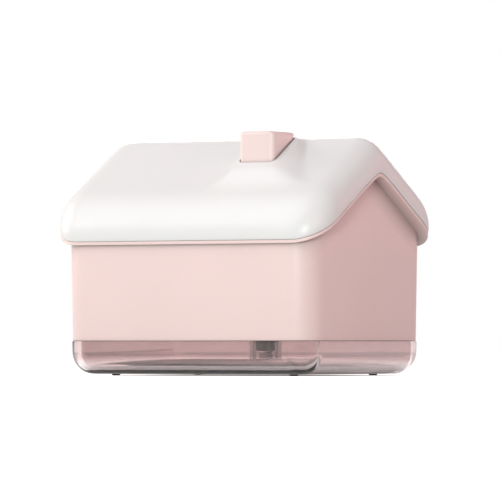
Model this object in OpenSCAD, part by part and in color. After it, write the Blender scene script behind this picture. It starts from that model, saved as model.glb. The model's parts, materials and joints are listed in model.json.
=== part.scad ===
// House-shaped tabletop ultrasonic humidifier. All sizes are in millimetres and +Z is up.
// The ridge runs along X, the slope with the chimney faces -Y, and Z = 0 is the table.
// A clear water tank is the base of the house. A wick sleeve hangs from the house into it,
// right under the chimney, and carries water up to the mist disc.

/* [House walls] */
// Length of the house at the eaves
house_l = 150.4; // [147:0.2:152]
// Depth of the house at the eaves
house_d = 122.8; // [121:0.2:124]
// Outer radius of the upright corners
corner_r = 14.3; // [12:0.1:16]
// Wall thickness of the house
wall_t = 2.2; // [1.8:0.1:2.4]
// Draft of the walls, sideways travel per unit of height
draft = 0.012; // [0:0.001:0.014]
// Height of the seam between the tank and the house
seam_z = 17.9; // [16:0.1:19]

/* [Roof] */
// Length of the roof, rim to rim
roof_l = 165.4; // [162:0.2:170]
// Depth of the roof, rim to rim
roof_d = 126.6; // [126:0.2:132]
// Plan radius of the roof's corners
roof_corner_r = 18; // [17:0.5:22]
// Height of the ridge
ridge_z = 123.6; // [121:0.2:125]
// Steepness of the slopes, rise over run
pitch = 0.6; // [0.58:0.01:0.62]
// How softly the two slopes meet at the ridge
ridge_soft = 2.8; // [2:0.1:4]
// How far in from the rim the puffed edge begins
edge_in = 14; // [12:0.5:15]
// How far the puffed edge drops from the slope to its widest line
edge_drop = 14.6; // [13:0.1:15]
// Thickness of the white roof moulding
roof_t = 2.2; // [1.8:0.1:2.6]
// Thickness of the pink liner under the roof
liner_t = 2; // [1.6:0.1:2.4]

/* [Chimney] */
// Place of the chimney along the ridge
chimney_x = 27.5; // [24:0.1:30]
// Place of the chimney on the front slope
chimney_y = -23.3; // [-25:0.1:-22]
// Width of the chimney along X
chimney_w = 20.8; // [20.6:0.1:21.6]
// Depth of the chimney along Y
chimney_d = 22.7; // [22:0.1:23.2]
// Height of the chimney's mouth
chimney_z = 126.6; // [126:0.2:132]
// Height of the drift of the roof that climbs round the chimney
drift_h = 6.3; // [4:0.1:7]

/* [Tank] */
// Height of the tank's upper edge, inside the house
tank_top_z = 44; // [38:0.5:44]
// Radius of the rounded bottom edge
tank_edge_r = 11.5; // [10:0.5:13.5]
// Thickness of the upper tank wall
tank_t = 2; // [1.6:0.1:2.4]
// Gap between the tank wall and the house around it
tank_gap = 0.5; // [0.4:0.1:0.8]
// How far the tank stands proud of the house at the seam
tank_proud = 0.3; // [0:0.1:0.4]

/* [Wick] */
// Outer diameter of the clear wick sleeve
sleeve_od = 16.6; // [16:0.1:16.8]
// Diameter of the cotton wick
wick_d = 10; // [8:0.5:10]

/* [Hidden] */
$fn = 64;
eps = 0.05;

// ---- Walls -------------------------------------------------------------------------------
eave_z = 66;
foot_t = 0.8;
function half_l(z) = house_l / 2 - draft * (eave_z - z);
function half_d(z) = house_d / 2 - draft * (eave_z - z);
seam_gap = 0.05;
shell_z = seam_z + seam_gap;

// ---- Roof surface ------------------------------------------------------------------------
// Distances of the corner centres, the same for every ring of the roof.
straight_x = roof_l / 2 - roof_corner_r;
straight_y = roof_d / 2 - roof_corner_r;
crown_r = roof_corner_r - edge_in;
lip_angle = -13;
lip_drop = edge_drop * (1 - sin(lip_angle));
liner_top_drop = lip_drop;
liner_low_drop = lip_drop + liner_t;
liner_inset = 0.1;

// Height of the main slopes at a depth y. Surfaces further down, by a drop, meet more softly.
rim_soft = 1.4;
function slope_z(y, drop = 0) =
  let (soft = ridge_soft + rim_soft * drop / lip_drop)
    ridge_z + pitch * (ridge_soft - sqrt(y * y + soft * soft));

function smooth(t) = let (c = min(1, max(0, t))) c * c * (3 - 2 * c);

// A step from 0 to 1 along a straight ramp with soft ends.
ramp_soft = 0.08;
function ramp(t) =
  (sqrt(t * t + ramp_soft * ramp_soft) - sqrt((t - 1) * (t - 1) + ramp_soft * ramp_soft) + 1) / 2;

// The drift round the chimney, above the main slope. It ramps out down the slope and grows
// wider there, falls away to both sides, and dies away narrower just past the ridge. Its lee
// side, to the right, spreads out further and further down the slope.
drift_side = 11.5;
drift_fade = 6.5;
drift_flare = 0.7;
drift_taper = 0.45;
drift_front = -48.5;
drift_full = -39.5;
drift_back = -15;
drift_end = 4;
drift_lee = 0.72;
function drift_fall(x, y) =
  drift_fade + (x > chimney_x ? drift_lee * max(0, drift_back - y) : 0);
function drift_width(y) =
  drift_side + drift_flare * max(0, drift_full - y) - drift_taper * max(0, y - drift_back);
function drift(x, y) = drift_h
  * (1 - smooth((abs(x - chimney_x) - drift_width(y)) / drift_fall(x, y)))
  * ramp((y - drift_front) / (drift_full - drift_front))
  * (1 - smooth((y - drift_back) / (drift_end - drift_back)));

// Sampling lines of the roof: closer together where the drift rises and where the slopes meet.
drift_step = 2;
drift_lines = 12;
drift_reach = drift_lines * drift_step;
function spread(a, b, n) = [for (k = [0 : n - 1]) a + (b - a) * k / n];
roof_xs = concat(
  spread(-straight_x, chimney_x - drift_reach, 4),
  [for (k = [-drift_lines : drift_lines - 1]) chimney_x + k * drift_step],
  spread(chimney_x + drift_reach, straight_x, 4), [straight_x]);
roof_ys = concat(
  spread(-straight_y, -4.4, 20),
  [-4.4, -2.4, -1, 0, 1, 2.4, 4.4],
  reversed(spread(straight_y, 4.4, 6)));
corner_steps = 6;

function reversed(list) = [for (k = [len(list) - 1 : -1 : 0]) list[k]];
function corner(x, y, r, start) = [
  for (k = [1 : corner_steps - 1])
    let (a = start + 90 * k / corner_steps) [x + r * cos(a), y + r * sin(a)]];

// One plan outline of the roof, at a radius r about the corner centres.
function roof_outline(r) = concat(
  [for (x = roof_xs) [x, -straight_y - r]], corner(straight_x, -straight_y, r, -90),
  [for (y = roof_ys) [straight_x + r, y]], corner(straight_x, straight_y, r, 0),
  [for (x = reversed(roof_xs)) [x, straight_y + r]], corner(-straight_x, straight_y, r, 90),
  [for (y = reversed(roof_ys)) [-straight_x - r, y]], corner(-straight_x, -straight_y, r, 180));
ring_n = len(roof_outline(1));

// A point of the roof surface above the plan point p.
function on_slope(p, drop) = [p[0], p[1], slope_z(p[1], drop) + drift(p[0], p[1]) - drop];

// A ring on the puffed edge: t is how far the surface lies inside the outer one.
function edge_ring(angle, t) = [
  for (p = roof_outline(crown_r + (edge_in - t) * cos(angle)))
    on_slope(p, edge_drop - (edge_drop - t) * sin(angle))];

outer_angles = [lip_angle, 0, 15, 30, 45, 60, 75, 90];
inner_lip_angle = asin(edge_drop * sin(lip_angle) / (edge_drop - roof_t));
inner_angles = [inner_lip_angle, 15, 50, 90];

// One face of the roof shell: the rings of its edge, then the grid of its slopes.
function roof_sheet(angles, t) = concat(
  [for (a = angles) each edge_ring(a, t)],
  [for (y = roof_ys) for (x = roof_xs) on_slope([x, y], t)]);

// Side faces between ring k and ring k + 1, for rings stored one after another.
function band(k, n) = [
  for (j = [0 : n - 1])
    let (a = k * n + j, b = k * n + (j + 1) % n)
      each [[a, a + n, b + n], [a, b + n, b]]];

// The grid point that each point of the topmost ring is joined to.
last_x = len(roof_xs) - 1;
last_y = len(roof_ys) - 1;
grid_beside = [
  for (cell = concat(
    [for (i = [0 : last_x]) [i, 0]], [for (k = [2 : corner_steps]) [last_x, 0]],
    [for (j = [0 : last_y]) [last_x, j]], [for (k = [2 : corner_steps]) [last_x, last_y]],
    [for (i = [last_x : -1 : 0]) [i, last_y]], [for (k = [2 : corner_steps]) [0, last_y]],
    [for (j = [last_y : -1 : 0]) [0, j]], [for (k = [2 : corner_steps]) [0, 0]]))
    cell[1] * (last_x + 1) + cell[0]];

function sheet_faces(rings) = let (top = (rings - 1) * ring_n, grid = rings * ring_n) concat(
  [for (k = [0 : rings - 2]) each band(k, ring_n)],
  [for (m = [0 : ring_n - 1])
    let (b = (m + 1) % ring_n, c = grid + grid_beside[b], d = grid + grid_beside[m])
      each c == d ? [[top + m, c, top + b]] : [[top + m, c, top + b], [top + m, d, c]]],
  [for (j = [0 : last_y - 1], i = [0 : last_x - 1])
    let (a = grid + j * (last_x + 1) + i, b = a + last_x + 1)
      each [[a, b + 1, a + 1], [a, b, b + 1]]]);

// ---- Tank --------------------------------------------------------------------------------
tank_outer_l = half_l(seam_z) + tank_proud;
tank_outer_d = half_d(seam_z) + tank_proud;
spigot_l = half_l(shell_z) - wall_t - tank_gap;
spigot_d = half_d(shell_z) - wall_t - tank_gap;
spigot_r = corner_r - wall_t - tank_gap;
tank_floor_t = 4.2;
tank_inner_edge_r = 6.8;
tank_corner_steps = 9;

// ---- Column of the mist unit, from the wick up to the chimney ----------------------------
plate_z = 47;
plate_t = 2.4;
plate_top_z = plate_z + plate_t;
sleeve_z = 6.8;
sleeve_floor_t = 1.4;
sleeve_t = 1.6;
sleeve_top_z = 60;
sleeve_r = sleeve_od / 2;
sleeve_hole_r = sleeve_r + 0.35;
sleeve_seal_z = plate_z + 0.5;
sleeve_seal_h = 1.4;
sleeve_groove_r = sleeve_r - 0.6;
lug_z = plate_top_z + 0.1;
lug_t = 2;
lug_r = sleeve_r + 2;
lug_angle = 40;
lug_turn = 60;
groove_r = lug_r + 0.35;
groove_z = 54;
wick_z = 12.4;
disc_z = 84;
disc_t = 0.6;
disc_r = 8;
pocket_r = 9.2;
pocket_z = 82;
seat_top_z = 98;
seat_r = 10.8;
seat_base_r = 17;
gasket_h = 4;
clamp_h = 3;
neck_r = 8;
neck_z = 90;
mist_bore_r = 6;
seal_z = 92;
seal_h = 3;
fit_gap = 0.08;

// ---- Electronics on the floor plate, behind the mist column ------------------------------
board_l = 64;
board_d = 28;
board_y = 43;
board_z = 53;
board_t = 1.6;
board_top_z = board_z + board_t;
usb_x = -18;
usb_w = 9;
usb_h = 3.3;
usb_len = 7.5;
button_x = 18;
button_r = 5.5;
button_z = board_top_z + 4.4;
button_out = 1.4;
button_travel = 0.8;
switch_depth = 7.4;
plunger_h = 0.8;
boss_x = 64;
boss_y = 51;
boss_r = 3.4;
boss_h = 12;
screw_r = 1.4;
screw_head_r = 2.7;
screw_head_h = 1.8;
pilot_r = 1.48;
seat_screw_r = 14;
foot_r = 2.2;
foot_x = 54;
foot_y = 41;

pink = [0.93, 0.80, 0.78];
white = [0.94, 0.93, 0.92];
clear = [0.86, 0.70, 0.69, 0.45];
silicone = [0.86, 0.86, 0.84];
steel = [0.72, 0.72, 0.73];

// ---- Shared shapes -----------------------------------------------------------------------
module rounded_rect(hx, hy, r) {
  square([2 * hx, 2 * (hy - r)], center = true);
  square([2 * (hx - r), 2 * hy], center = true);
  for (sx = [-1, 1], sy = [-1, 1]) translate([sx * (hx - r), sy * (hy - r)]) circle(r);
}

// Everything below the slopes, lowered by a given drop.
module under_slopes(drop, low) {
  reach = roof_d / 2 + 5;
  knots = concat([-reach], roof_ys, [reach]);
  rotate([90, 0, 90])
    linear_extrude(roof_l, center = true)
      polygon(concat([for (y = knots) [y, slope_z(y, drop) - drop]], [[reach, low], [-reach, low]]));
}

// A flat outline with round corners, as points.
function flat_ring(hx, hy, r, z) = [
  for (q = [[1, -1, -90], [1, 1, 0], [-1, 1, 90], [-1, -1, 180]])
    for (k = [0 : tank_corner_steps])
      let (a = q[2] + 90 * k / tank_corner_steps)
        [q[0] * (hx - r) + r * cos(a), q[1] * (hy - r) + r * sin(a), z]];

// A solid through a stack of rings with the same number of points, closed at both ends.
module ring_stack(rings) {
  n = len(rings[0]);
  last = (len(rings) - 1) * n;
  polyhedron(
    points = [for (ring = rings) each ring],
    faces = concat(
      [[for (j = [0 : n - 1]) j]],
      [for (k = [0 : len(rings) - 2]) each band(k, n)],
      [[for (j = [0 : n - 1]) last + n - 1 - j]]));
}

// A block whose walls lean out with the draft of the house, inset by t.
module drafted_block(z0, z1, t) {
  ring_stack([for (z = [z0, z1]) flat_ring(half_l(z) - t, half_d(z) - t, corner_r - t, z)]);
}

// A round wire along a list of points.
function unit(v) = v / norm(v);
module wire(path, r, sides) {
  m = len(path);
  rings = [for (k = [0 : m - 1])
    let (
      along = unit(path[min(k + 1, m - 1)] - path[max(k - 1, 0)]),
      side = unit(cross(along, abs(along[2]) > 0.9 ? [0, 1, 0] : [0, 0, 1])),
      up = cross(side, along))
      [for (j = [0 : sides - 1])
        path[k] + r * (cos(360 * j / sides) * side + sin(360 * j / sides) * up)]];
  ring_stack([for (k = [m - 1 : -1 : 0]) rings[k]]);
}

module screw(length) {
  cylinder(r = screw_r, h = length);
  difference() {
    translate([0, 0, -screw_head_h]) cylinder(r = screw_head_r, h = screw_head_h);
    for (a = [0, 90])
      rotate(a) translate([-1.6, -0.3, -screw_head_h - eps]) cube([3.2, 0.6, 0.9]);
  }
}

module at_column() { translate([chimney_x, chimney_y, 0]) children(); }
module at_bosses() {
  for (sx = [-1, 1], sy = [-1, 1]) translate([sx * boss_x, sy * boss_y, 0]) children();
}
module at_seat_screws() {
  at_column() for (a = [30, 150, 270]) rotate(a) translate([seat_screw_r, 0, 0]) children();
}
module at_board_posts() {
  for (sx = [-1, 1]) translate([sx * (board_l / 2 - 4), board_y - board_d / 2 + 4, 0]) children();
}

// ---- Tank and feet -----------------------------------------------------------------------
// One clear moulding: a thick lower part, a hair proud of the house and rounded below,
// a step at the seam, and a thinner wall that stands up inside the house.
module water_tank() {
  low_z = foot_t;
  floor_z = low_z + tank_floor_t;
  outer_edge = [for (a = [0, 20, 40, 60, 75, 90]) a];
  inner_l = spigot_l - tank_t;
  inner_d = spigot_d - tank_t;
  inner_r = spigot_r - tank_t;
  color(clear)
    ring_stack(concat(
      [for (a = outer_edge)
        let (in = tank_edge_r * (1 - sin(a)))
          flat_ring(tank_outer_l - in, tank_outer_d - in, corner_r - in * 0.98,
            low_z + tank_edge_r * (1 - cos(a)))],
      [flat_ring(tank_outer_l, tank_outer_d, corner_r, seam_z)],
      [flat_ring(spigot_l, spigot_d, spigot_r, seam_z)],
      [flat_ring(spigot_l, spigot_d, spigot_r, tank_top_z)],
      [flat_ring(inner_l, inner_d, inner_r, tank_top_z)],
      [for (a = [90, 65, 40, 20, 0])
        let (in = tank_inner_edge_r * (1 - sin(a)))
          flat_ring(inner_l - in, inner_d - in, inner_r - in,
            floor_z + tank_inner_edge_r * (1 - cos(a)))]));
}

module tank_feet() {
  color([0.12, 0.12, 0.12])
    for (sx = [-1, 1], sy = [-1, 1])
      translate([sx * foot_x, sy * foot_y, 0]) cylinder(r = foot_r, h = foot_t);
}

// ---- House -------------------------------------------------------------------------------
// Four drafted walls in one moulding, with gables that run up to the liner. Its rear wall
// has the slot for the socket and the hole for the button.
module house_shell() {
  top_z = ridge_z;
  rib_t = 1.6;
  rib_reach = 7.6;
  rear = half_d(board_z);
  color(pink)
    difference() {
      union() {
        intersection() {
          difference() {
            drafted_block(shell_z, top_z, 0);
            drafted_block(shell_z - eps, top_z + eps, wall_t);
          }
          under_slopes(liner_low_drop, 0);
        }
        at_bosses() translate([0, 0, plate_top_z]) cylinder(r = boss_r, h = boss_h);
        for (sx = [-1, 1], sy = [-1, 1])
          translate([sx * boss_x, sy * boss_y, plate_top_z])
            rotate(atan2(sy, sx))
              translate([boss_r - 1, -rib_t / 2, 0]) cube([rib_reach - boss_r + 1, rib_t, boss_h]);
      }
      at_bosses() translate([0, 0, plate_top_z - eps]) cylinder(r = pilot_r, h = boss_h - 2);
      translate([usb_x, rear, board_top_z + usb_h / 2]) usb_outline(0.3, 2 * wall_t + 2);
      translate([button_x, rear + wall_t, button_z])
        rotate([90, 0, 0]) cylinder(r = button_r + 0.35, h = 3 * wall_t);
    }
}

module usb_outline(extra, length) {
  r = usb_h / 2 + extra;
  for (s = [-1, 1])
    translate([s * (usb_w / 2 + extra - r), length / 2, 0]) rotate([90, 0, 0]) cylinder(r = r, h = length);
  cube([usb_w + 2 * extra - 2 * r, length, 2 * r], center = true);
}

// The pink panel that closes the roof from below. Its edge is the thin line under the white rim.
module roof_liner() {
  rim_r = crown_r + edge_in * cos(lip_angle) - liner_inset;
  liner_gap = 1.2;
  clip_w = 10;
  clip_h = 9;
  color(pink) {
    difference() {
      intersection() {
        difference() {
          under_slopes(liner_top_drop, 0);
          under_slopes(liner_low_drop, -1);
        }
        linear_extrude(ridge_z) rounded_rect(straight_x + rim_r, straight_y + rim_r, rim_r);
      }
      at_column()
        linear_extrude(ridge_z)
          rounded_rect(chimney_w / 2 + liner_gap, chimney_d / 2 + liner_gap, 3.8);
    }
    // Clips that reach down inside the two long walls.
    for (sx = [-1, 1], sy = [-1, 1]) {
      y = half_d(eave_z) - wall_t - 1.8;
      translate([sx * 40 - clip_w / 2, sy * (y + 0.8) - 0.8, slope_z(y) - liner_low_drop - clip_h])
        cube([clip_w, 1.6, clip_h + 0.6]);
    }
  }
}

// The puffed white roof: one lofted shell. Its rim is the lip that sits on the liner, its edge
// swells out and over, and its front slope climbs round the chimney as a drift.
module roof_cap() {
  roof_gap = 0.5;
  outer = roof_sheet(outer_angles, 0);
  inner = roof_sheet(inner_angles, roof_t);
  first = len(outer);
  color(white)
    difference() {
      polyhedron(
        points = concat(outer, inner),
        faces = concat(
          sheet_faces(len(outer_angles)),
          [for (f = sheet_faces(len(inner_angles))) [f[0] + first, f[2] + first, f[1] + first]],
          [for (j = [0 : ring_n - 1])
            let (b = (j + 1) % ring_n)
              each [[j, b, first + b], [j, first + b, first + j]]]));
      at_column()
        linear_extrude(ridge_z + drift_h)
          rounded_rect(chimney_w / 2 + roof_gap, chimney_d / 2 + roof_gap, 3.1);
    }
}

// ---- Floor of the house ------------------------------------------------------------------
// The plate parts the wet side from the dry side and carries everything inside the house.
module floor_plate() {
  inset = wall_t + 0.25;
  post_r = 2.8;
  color(pink)
    difference() {
      union() {
        translate([0, 0, plate_z])
          linear_extrude(plate_t)
            rounded_rect(half_l(plate_z) - inset, half_d(plate_z) - inset, corner_r - inset);
        at_board_posts()
          translate([0, 0, plate_top_z - eps]) cylinder(r = post_r, h = board_z - plate_top_z + eps);
        at_seat_screws() translate([0, 0, plate_z - 1.5]) cylinder(r = 3, h = 1.6);
      }
      at_column() {
        translate([0, 0, plate_z - 2]) cylinder(r = sleeve_hole_r, h = plate_t + 3);
        // Notches that let the sleeve's lugs in from below, a part turn away from the lock.
        for (a = [lug_turn, lug_turn + 180])
          rotate(a) intersection() {
            translate([0, 0, plate_z - 2]) cylinder(r = groove_r, h = plate_t + 3);
            translate([0, -lug_r * sin(lug_angle / 2) - 0.6, plate_z - 2])
              cube([groove_r + 1, 2 * lug_r * sin(lug_angle / 2) + 1.2, plate_t + 3]);
          }
      }
      at_bosses() translate([0, 0, plate_z - 1]) cylinder(r = screw_r + 0.2, h = plate_t + 2);
      at_seat_screws() translate([0, 0, plate_z - 2]) cylinder(r = screw_r + 0.2, h = plate_t + 3);
      at_board_posts() translate([0, 0, plate_top_z - 1]) cylinder(r = pilot_r, h = board_z);
    }
}

// Soft ring between the plate and the tank's upper edge.
module plate_gasket() {
  rise = plate_z - tank_top_z - 0.3;
  mid_l = spigot_l - tank_t / 2;
  mid_d = spigot_d - tank_t / 2;
  mid_r = spigot_r - tank_t / 2;
  half_w = 1.1;
  color(silicone)
    translate([0, 0, plate_z - rise])
      linear_extrude(rise)
        difference() {
          rounded_rect(mid_l + half_w, mid_d + half_w, mid_r + half_w);
          rounded_rect(mid_l - half_w, mid_d - half_w, mid_r - half_w);
        }
}

module plate_screws() {
  color(steel) at_bosses() translate([0, 0, plate_z]) screw(plate_t + 8);
}

// ---- Mist unit ---------------------------------------------------------------------------
// A round column. At its foot a groove takes the sleeve's lugs, and at its head a pocket
// takes the disc in its gasket, the clamp ring and the neck of the chimney.
module atomiser_seat() {
  bore_r = sleeve_hole_r;
  shelf_r = 7.2;
  shelf_t = 3;
  color(white)
    difference() {
      at_column()
        rotate_extrude()
          polygon([
            [groove_r, plate_top_z], [seat_base_r, plate_top_z], [seat_base_r, groove_z + 2],
            [seat_r + 1.5, groove_z + 2.6], [seat_r, groove_z + 5], [seat_r, seat_top_z],
            [pocket_r, seat_top_z], [pocket_r, pocket_z], [shelf_r, pocket_z],
            [shelf_r, pocket_z - shelf_t], [bore_r, pocket_z - shelf_t - 2],
            [bore_r, groove_z], [groove_r, groove_z]]);
      at_seat_screws() translate([0, 0, plate_top_z - eps]) cylinder(r = pilot_r, h = 5.5);
      // Slot for the two wires of the disc.
      at_column() translate([-2, 0, disc_z - 1.4]) cube([4, seat_r + 1, 2.8]);
    }
}

module seat_screws() {
  color(steel) at_seat_screws() translate([0, 0, plate_z - 1.5]) screw(plate_t + 6);
}

// Silicone ring that holds the disc by its edge.
module disc_gasket() {
  inner_r = 5.6;
  color(silicone)
    at_column()
      difference() {
        translate([0, 0, pocket_z]) cylinder(r = pocket_r - fit_gap, h = gasket_h);
        translate([0, 0, pocket_z - eps]) cylinder(r = inner_r, h = gasket_h + 1);
        translate([0, 0, disc_z]) cylinder(r = disc_r + 0.3, h = disc_t);
        translate([-1.6, disc_r - 1, disc_z]) cube([3.2, 3, 1.2]);
      }
}

module atomiser_disc() {
  color([0.80, 0.66, 0.36])
    at_column()
      difference() {
        translate([0, 0, disc_z]) cylinder(r = disc_r, h = disc_t);
        translate([0, 0, disc_z + disc_t - 0.2]) cylinder(r = 2.6, h = 1);
      }
}

module disc_clamp() {
  color(white)
    at_column()
      translate([0, 0, pocket_z + gasket_h])
        difference() {
          cylinder(r = pocket_r - fit_gap, h = clamp_h);
          translate([0, 0, -1]) cylinder(r = mist_bore_r, h = clamp_h + 2);
          // Four notches for the key that turns the ring.
          for (a = [45 : 90 : 315]) rotate(a) translate([6.8, -0.8, clamp_h - 1.2]) cube([4, 1.6, 3]);
        }
}

// ---- Electronics -------------------------------------------------------------------------
module control_board() {
  color([0.10, 0.38, 0.22])
    difference() {
      translate([-board_l / 2, board_y - board_d / 2, board_z]) cube([board_l, board_d, board_t]);
      at_board_posts() translate([0, 0, board_z - 1]) cylinder(r = screw_r + 0.2, h = board_t + 2);
    }
}

module board_screws() {
  color(steel) at_board_posts() translate([0, 0, board_top_z]) rotate([180, 0, 0]) screw(board_t + 3);
}

// The driver's coil, its capacitor and the control chip.
module board_parts() {
  coil_r = 4.6;
  translate([0, board_y, board_top_z]) {
    color([0.25, 0.25, 0.27]) {
      translate([-6, -6, 0]) {
        cylinder(r = coil_r, h = 1);
        cylinder(r = coil_r * 0.6, h = 6);
        translate([0, 0, 5]) cylinder(r = coil_r, h = 1);
      }
      translate([4, -10, 0]) cube([8, 5, 1.5]);
    }
    color([0.2, 0.24, 0.45]) translate([-17, -6, 0]) cylinder(r = 3.1, h = 8);
  }
}

// Steel-cased inlet: an open shell with a tongue in the middle.
module usb_socket() {
  case_t = 0.3;
  mouth_y = half_d(board_z) - 0.6;
  color(steel)
    translate([usb_x, mouth_y - usb_len / 2, board_top_z + usb_h / 2])
      difference() {
        usb_outline(0, usb_len);
        translate([0, 1.2, 0]) usb_outline(-case_t, usb_len);
      }
  color([0.1, 0.1, 0.1])
    translate([usb_x - 3.3, mouth_y - usb_len + 1.2, board_top_z + usb_h / 2 - 0.35]) cube([6.6, 5.2, 0.7]);
}

// Upright key switch behind the power button.
module tact_switch() {
  side = 6;
  face_y = half_d(button_z) - switch_depth;
  color([0.15, 0.15, 0.16]) {
    translate([button_x - side / 2, face_y - 3.5, board_top_z]) cube([side, 3.5, 7.4]);
    translate([button_x, face_y - eps, button_z]) rotate([-90, 0, 0]) cylinder(r = 1.7, h = plunger_h + eps);
  }
}

// Two thin leads from the disc down to the board.
module disc_wires() {
  side = 1.2;
  end_x = -6;
  front = board_y - board_d / 2 - chimney_y;
  color([0.55, 0.12, 0.10])
    at_column()
      for (s = [-side, side])
        wire([
          [s * 0.7, disc_r + 0.2, disc_z + 0.6], [s * 0.7, 12, disc_z + 0.6], [s, 16, disc_z - 2],
          [s, 18, disc_z - 8], [s, 20, 68], [s + end_x / 2, 30, 58.5], [s + end_x, 42, 57],
          [s + end_x, front + 6, board_top_z + 0.9], [s + end_x, front + 9, board_top_z + 0.5]],
          0.45, 8);
}

// ---- Chimney -----------------------------------------------------------------------------
// Square outside with soft edges, round inside. It pulls out for cleaning the disc.
module chimney_nozzle() {
  edge_r = 2;
  side_r = 2.6;
  mouth_r = 7;
  hx = chimney_w / 2;
  hy = chimney_d / 2;
  color(pink)
    at_column()
      difference() {
        union() {
          ring_stack(concat(
            [flat_ring(hx, hy, side_r, seat_top_z)],
            [for (a = [0, 22.5, 45, 67.5, 90])
              let (in = edge_r * (1 - cos(a)))
                flat_ring(hx - in, hy - in, side_r - in, chimney_z - edge_r * (1 - sin(a)))]));
          translate([0, 0, neck_z]) cylinder(r = neck_r, h = seat_top_z - neck_z + 1);
        }
        translate([0, 0, neck_z - 1]) cylinder(r = mist_bore_r, h = chimney_z);
        translate([0, 0, chimney_z - 1.4]) cylinder(r = mouth_r, h = 3);
        translate([0, 0, seal_z])
          difference() {
            cylinder(r = neck_r + 1, h = seal_h);
            translate([0, 0, -1]) cylinder(r = neck_r - 0.8, h = seal_h + 2);
          }
      }
}

module nozzle_seal() {
  color(silicone)
    at_column()
      translate([0, 0, seal_z])
        difference() {
          cylinder(r = pocket_r - fit_gap, h = seal_h);
          translate([0, 0, -1]) cylinder(r = neck_r - 0.8, h = seal_h + 2);
        }
}

// ---- Button ------------------------------------------------------------------------------
// A round cap through the rear wall, with a collar that keeps it in and a stem behind it.
module power_button() {
  collar_depth = wall_t + 0.2;
  collar_t = 1;
  stem_depth = switch_depth - plunger_h - button_travel - 0.1;
  dish_r = 20;
  color(white)
    translate([button_x, half_d(button_z), button_z])
      rotate([90, 0, 0]) {
        difference() {
          translate([0, 0, -button_out]) cylinder(r = button_r, h = button_out + collar_depth + eps);
          translate([0, 0, -button_out - dish_r + 0.6]) sphere(r = dish_r);
        }
        translate([0, 0, collar_depth]) cylinder(r = button_r + 1.4, h = collar_t);
        translate([0, 0, collar_depth + collar_t - eps])
          cylinder(r = 1.6, h = stem_depth - collar_depth - collar_t + eps);
      }
}

// ---- Wick --------------------------------------------------------------------------------
// Clear tube with two lugs at its collar, guide ribs inside and an open foot for the water.
module wick_sleeve() {
  inner_r = sleeve_r - sleeve_t;
  rib_r = wick_d / 2 + 0.35;
  slot_w = 3;
  slot_h = 3.5;
  color([0.90, 0.86, 0.85, 0.5])
    at_column()
      difference() {
        union() {
          difference() {
            translate([0, 0, sleeve_z]) cylinder(r = sleeve_r, h = sleeve_top_z - sleeve_z);
            translate([0, 0, sleeve_z + sleeve_floor_t]) cylinder(r = inner_r, h = sleeve_top_z);
            // Groove of the seal ring.
            translate([0, 0, sleeve_seal_z]) difference() {
              cylinder(r = sleeve_r + 1, h = sleeve_seal_h);
              translate([0, 0, -1]) cylinder(r = sleeve_groove_r, h = sleeve_seal_h + 2);
            }
          }
          for (a = [0 : 90 : 270])
            rotate(a + 45) translate([rib_r, -0.5, sleeve_z + 1])
              cube([sleeve_r - sleeve_t + 0.4 - rib_r, 1, sleeve_top_z - sleeve_z - 1]);
          for (a = [0, 180])
            rotate(a) intersection() {
              translate([0, 0, lug_z]) difference() {
                cylinder(r = lug_r, h = lug_t);
                translate([0, 0, -1]) cylinder(r = sleeve_r - 0.4, h = lug_t + 2);
              }
              translate([0, -lug_r * sin(lug_angle / 2), lug_z])
                cube([lug_r + 1, 2 * lug_r * sin(lug_angle / 2), lug_t]);
            }
        }
        translate([0, 0, sleeve_z - 1]) cylinder(r = 2, h = 4);
        for (a = [0 : 90 : 270])
          rotate(a) translate([inner_r - 1.2, -slot_w / 2, sleeve_z - 1]) cube([4, slot_w, slot_h]);
      }
}

module sleeve_seal() {
  color(silicone)
    at_column()
      translate([0, 0, sleeve_seal_z])
        difference() {
          cylinder(r = sleeve_hole_r - fit_gap, h = sleeve_seal_h);
          translate([0, 0, -1]) cylinder(r = sleeve_groove_r, h = sleeve_seal_h + 2);
        }
}

module wick_stick() {
  color([0.45, 0.46, 0.42])
    at_column() {
      translate([0, 0, wick_z]) cylinder(r1 = wick_d / 2 - 0.6, r2 = wick_d / 2, h = 0.8);
      translate([0, 0, wick_z + 0.8]) cylinder(r = wick_d / 2, h = disc_z - wick_z - 0.95);
    }
}

// Coil under the wick that keeps it against the disc.
module wick_spring() {
  turns = 2;
  steps = 16;
  wire_r = 0.4;
  coil_r = 3.6;
  low = sleeve_z + sleeve_floor_t + wire_r + 0.02;
  high = wick_z - wire_r - 0.02;
  color(steel)
    at_column()
      wire([for (k = [0 : turns * steps])
        let (a = 360 * k / steps)
          [coil_r * cos(a), coil_r * sin(a), low + (high - low) * k / (turns * steps)]], wire_r, 8);
}

water_tank();
tank_feet();
house_shell();
roof_liner();
roof_cap();
floor_plate();
plate_gasket();
plate_screws();
atomiser_seat();
seat_screws();
disc_gasket();
atomiser_disc();
disc_clamp();
control_board();
board_screws();
board_parts();
usb_socket();
tact_switch();
disc_wires();
chimney_nozzle();
nozzle_seal();
power_button();
wick_sleeve();
sleeve_seal();
wick_stick();
wick_spring();
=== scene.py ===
# The finish of a house-shaped humidifier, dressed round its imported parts. Metres, +Z is up.
import json
import math

import bmesh
import bpy
from mathutils import Matrix, Vector


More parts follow.
